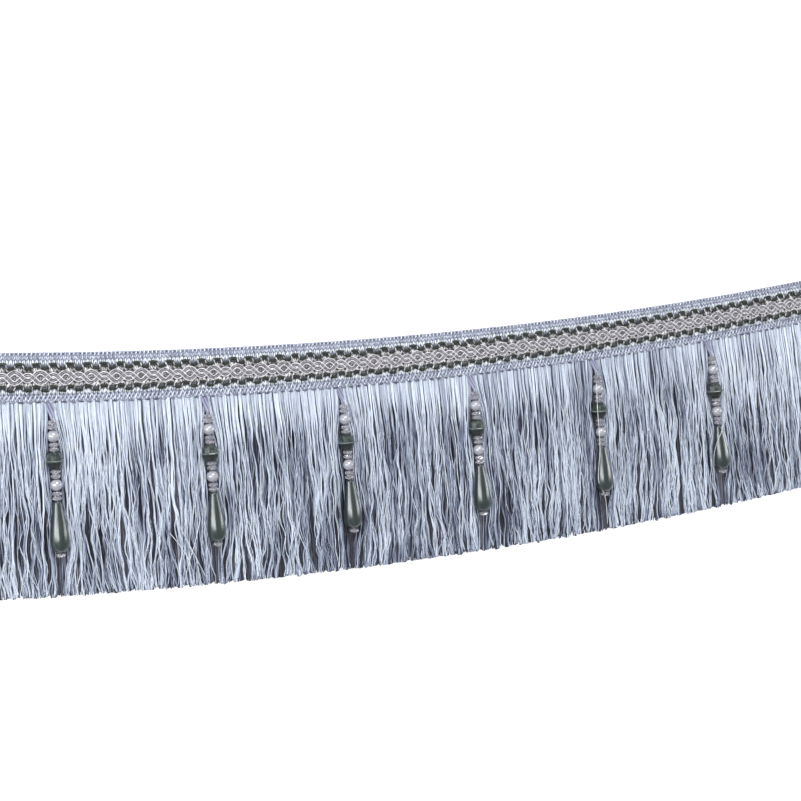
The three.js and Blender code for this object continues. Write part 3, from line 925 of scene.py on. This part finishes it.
# Spacer beads and their thread
# Small clear glass rondelles with ground facets, in pairs between the larger beads and one below
# the teardrop. A doubled lavender thread runs through every bead.
SPACER_STARTS = (8.1, 10.35, 19.0, 21.25, 32.1, 34.35, 43.0, 45.25, 73.3)
SPACER_PROFILE = ((0.45, 0.05), (1.6, 0.05), (2.5, 0.75), (2.5, 1.45), (1.6, 2.2), (0.45, 2.2))
SPACER_FACETS = 9
SPIN = 0.37
THREAD_END = 75.8
THREAD_STEPS = 8
THREAD_ASIDE = 0.17
THREAD_THICKNESS = 0.34


def turned_beads(name, profile, starts, sides, material, smooth=False, spiral=0.0, tones=None):
    """Beads turned round a drop's line. The profile is a closed line of radius and distance below.
    A spiral turns each ring against the last, and tones give each ring its lightness."""
    beads = bmesh.new()
    lightness = beads.verts.layers.float.new("tone")
    for drop in drops:
        across = Vector((-drop.line.y, drop.line.x, 0))
        for start in starts:
            spin = SPIN * start + drop.number
            rings = []
            for number, (radius, below) in enumerate(profile):
                middle = drop.at(start + below)
                ring_points = []
                for side_number in range(sides):
                    angle = math.tau * (side_number + spiral * number) / sides + spin
                    out = across * math.cos(angle) + Vector((0, 0, 1)) * math.sin(angle)
                    corner = beads.verts.new(middle + out * radius * MM)
                    corner[lightness] = tones[number] if tones else 0.5
                    ring_points.append(corner)
                rings.append(ring_points)
            for ring_points, next_points in zip(rings, rings[1:] + rings[:1]):
                for number in range(sides):
                    after = (number + 1) % sides
                    beads.faces.new((
                        ring_points[number], ring_points[after], next_points[after], next_points[number],
                    ))
    bmesh.ops.recalc_face_normals(beads, faces=beads.faces)
    mesh = bpy.data.meshes.new(name)
    beads.to_mesh(mesh)
    beads.free()
    mesh.materials.append(material)
    if smooth:
        mesh.shade_smooth()
    return add_piece(name, mesh)


def glass(name, colour, roughness, transmission):
    """Clear glass with small patches of a dimmer tint of its colour, painted sparkle of its facets."""
    material, steps, shader = start_material(name)
    # Dim and bright patches painted in, as the sparkle of the ground facets.
    facet_sparkle = steps.noise(*(number * 900.0 for number in steps.object_place()), 2.0)
    sparkle_dark = tuple(value * 0.3 for value in colour)
    steps.fill(shader, {
        "Base Color": ramp(steps, facet_sparkle * 1.1 + 0.55, (sparkle_dark, colour)),
        "Roughness": roughness,
        "Transmission Weight": transmission,
        "IOR": 1.5,
        "Coat Weight": 1.0,
        "Coat IOR": 1.9,
    })
    return material


clear_glass = glass("clear glass", (0.74, 0.74, 0.82), 0.05, 0.6)
spacers = turned_beads(
    "spacer_beads", SPACER_PROFILE, SPACER_STARTS, SPACER_FACETS, clear_glass, spiral=0.5
)
bead_thread_paths = []
for drop in drops:
    for aside in (-THREAD_ASIDE, THREAD_ASIDE):
        bead_thread_paths.append([
            drop.at(LOOP_END - 1 + step * (THREAD_END - LOOP_END + 1) / THREAD_STEPS, aside, 0)
            for step in range(THREAD_STEPS + 1)
        ])
threads("bead_threads", bead_thread_paths, THREAD_THICKNESS, lavender_thread)
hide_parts(*(f"drop_{drop.number}_threaded_spacers" for drop in drops))

# Pearls
# Round imitation pearls of 6 mm, drilled through, with an off-white lustre that turns pink at the
# rim, where it is also darker with painted shade. Each drop has one above its lantern bead and one below.
PEARL_RADIUS = 3.0
PEARL_BORE = 0.5
PEARL_RINGS = 16
PEARL_SIDES = 28
PEARL_STARTS = (12.8, 36.8)

bore_angle = math.asin(PEARL_BORE / PEARL_RADIUS)
pearl_profile = []
for ring in range(PEARL_RINGS + 1):
    angle = bore_angle + (math.pi - 2 * bore_angle) * ring / PEARL_RINGS
    pearl_profile.append((PEARL_RADIUS * math.sin(angle), PEARL_RADIUS * (1 - math.cos(angle))))


def pearl_lustre():
    """Nacre paint: cream where it faces out, pink and lilac at the rim, with a faint mottle. Towards
    the rim it is also darker, by the angle it is seen at: painted shade.
    """
    material, steps, shader = start_material("pearl lustre")
    # The darker rim, by the angle it is seen at, is painted shade; its lilac tint is the nacre's.
    rim = steps.amount(steps.node("ShaderNodeLayerWeight", {"Blend": 0.35}), "Facing")
    mottle = steps.noise(*(number * 700.0 for number in steps.object_place()), 2.0)
    colours = ((0.34, 0.35, 0.38), (0.27, 0.27, 0.32), (0.16, 0.15, 0.21))
    steps.fill(shader, {
        "Base Color": ramp(steps, rim + mottle * 0.15, colours),
        "Roughness": 0.22,
        "Coat Weight": 1.0,
        "Coat IOR": 1.8,
        "Coat Roughness": 0.1,
    })
    return material


pearls = turned_beads(
    "pearls", pearl_profile, PEARL_STARTS, PEARL_SIDES, pearl_lustre(), smooth=True
)
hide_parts(*(f"drop_{drop.number}_{place}_pearl" for drop in drops for place in ("upper", "lower")))

# Lantern beads
# Dark green pressed beads, one in each drop, between its pearls. They have ten facets above and
# below a narrow flange round the middle. The flange's thin edge is lighter with a painted highlight,
# and the facets below it are darker with painted shade.
LANTERN_START = 23.8
LANTERN_FACETS = 10
LANTERN_PROFILE = ((0.6, 0.0), (2.5, 0.0), (3.6, 1.4), (4.1, 3.7), (4.6, 3.9), (4.75, 4.2), (4.6, 4.5),
                   (4.0, 4.7), (3.4, 6.6), (2.4, 8.0), (0.6, 8.0))
# Lightness of each ring of the profile: a painted highlight on the flange's edge, painted shade below it.
LANTERN_LIGHT_AND_SHADE = (0.3, 0.5, 0.55, 0.45, 0.95, 1.0, 0.6, 0.1, 0.15, 0.1, 0.1)


def bead_green(name, colours, roughness, streaks, lustre=0.0, coat=0.0):
    """Dark green bead, coloured by clouds that are drawn out along the drop."""
    material, steps, shader = start_material(name)
    x, y, z = (number * 600.0 for number in steps.object_place())
    clouds = steps.noise(x, y / streaks, z, 3.0)
    # The tone of each ring, which on the lantern beads holds painted highlight and shade.
    tone = steps.amount(steps.node("ShaderNodeAttribute", attribute_name="tone"), "Fac")
    steps.fill(shader, {
        "Base Color": ramp(steps, clouds * 0.5 + tone, colours),
        "Roughness": roughness,
        "Metallic": lustre,
        "Coat Weight": coat,
        "Coat Roughness": 0.17,
    })
    return material


lantern_green = bead_green(
    "lantern green", ((0.006, 0.009, 0.009), (0.018, 0.027, 0.025), (0.13, 0.17, 0.15)), 0.28,
    streaks=1.0, coat=0.3,
)
lanterns = turned_beads(
    "lantern_beads", LANTERN_PROFILE, (LANTERN_START,), LANTERN_FACETS,
    lantern_green, tones=LANTERN_LIGHT_AND_SHADE,
)
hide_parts(*(f"drop_{drop.number}_lantern_bead" for drop in drops))

# Teardrops
# Long moulded drops of 25 mm with a dark blue-green pearlescent coat. The thread leaves through
# the blunt end, where one more spacer holds them.
TEARDROP_START = 47.8
TEARDROP_OUTLINE = ((0, 1.8), (6, 2.85), (13, 4.05), (18, 4.7), (21, 4.75), (23.2, 4.1), (24.7, 2.9),
                    (25.2, 1.8))
TEARDROP_BORE = 0.6
TEARDROP_SIDES = 48
TEARDROP_STEP = 0.8


def smooth_outline(outline, step):
    """Points on a smooth line through an outline of distance and radius."""
    points = []
    for number in range(len(outline) - 1):
        near = [outline[min(max(number + shift, 0), len(outline) - 1)] for shift in (-1, 0, 1, 2)]
        (x0, y0), (x1, y1), (x2, y2), (x3, y3) = near
        start_slope = (y2 - y0) / (x2 - x0)
        end_slope = (y3 - y1) / (x3 - x1)
        parts = max(2, round((x2 - x1) / step))
        for part in range(parts):
            s = part / parts
            radius = (
                (2 * s ** 3 - 3 * s ** 2 + 1) * y1 + (s ** 3 - 2 * s ** 2 + s) * (x2 - x1) * start_slope
                + (3 * s ** 2 - 2 * s ** 3) * y2 + (s ** 3 - s ** 2) * (x2 - x1) * end_slope
            )
            points.append((radius, x1 + (x2 - x1) * s))
    points.append((outline[-1][1], outline[-1][0]))
    return points


teardrop_profile = [
    (TEARDROP_BORE, TEARDROP_OUTLINE[0][0]),
    *smooth_outline(TEARDROP_OUTLINE, TEARDROP_STEP),
    (TEARDROP_BORE, TEARDROP_OUTLINE[-1][0]),
]
teardrop_green = bead_green(
    "teardrop green", ((0.009, 0.016, 0.016), (0.017, 0.03, 0.029), (0.045, 0.068, 0.066)), 0.3,
    streaks=8.0, lustre=0.2, coat=0.8,
)
teardrops = turned_beads(
    "teardrops", teardrop_profile, (TEARDROP_START,), TEARDROP_SIDES,
    teardrop_green, smooth=True,
)
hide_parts(*(f"drop_{drop.number}_teardrop" for drop in drops))

# Loose strands
# Fine pale strands that have come out of the fringe and lie over it, some of them across the beads.
# Each path gives a drop, then points of distance below the heading and of place aside and height,
# both from the line of that drop's beads.
LOOSE_THICKNESS = 0.34
LOOSE_PATHS = (
    (5, (12, -2.6, 3.3), (20, -2.8, 2.9), (28, -3.4, 3.6), (38, -2.9, 3.2), (50, -2.7, 2.4), (60, -4.4, 2.0),
     (68, -4.9, 1.6), (74, -1.5, 2.0), (80, 1.6, -2.0), (92, 2.4, -3.6)),
    (6, (10, 2.6, 2.6), (18, 3.4, 2.4), (26, 5.0, 2.6), (33, 4.3, 2.6), (42, 3.4, 2.5), (50, 0.6, 3.4),
     (56, -3.0, 2.4), (66, -5.4, -1.0), (86, -4.0, -3.4)),
    (2, (60, -20.0, -2.2), (72, -15.0, -1.6), (80, -11.5, -1.8), (90, -7.0, -3.4)),
    (2, (62, -8.0, -2.0), (72, -11.0, -1.6), (82, -15.5, -2.0), (92, -18.0, -3.4)),
    (2, (66, -24.0, -2.2), (76, -17.0, -1.6), (86, -13.5, -2.4), (93, -12.5, -3.6)),
    (1, (54, 16.0, -2.2), (62, 18.4, -1.4), (72, 20.4, -1.6), (84, 21.0, -2.8)),
    (1, (52, 33.0, -2.2), (60, 36.0, -1.4), (70, 37.0, -1.6), (80, 40.5, -2.6)),
    (4, (20, -14.0, -2.2), (34, -12.0, -1.4), (52, -13.4, -1.5), (70, -11.0, -1.8), (90, -12.4, -3.6)),
)
threads(
    "loose_strands",
    [[drops[number - 1].at(*place) for place in places] for number, *places in LOOSE_PATHS],
    LOOSE_THICKNESS, white_yarn,
)
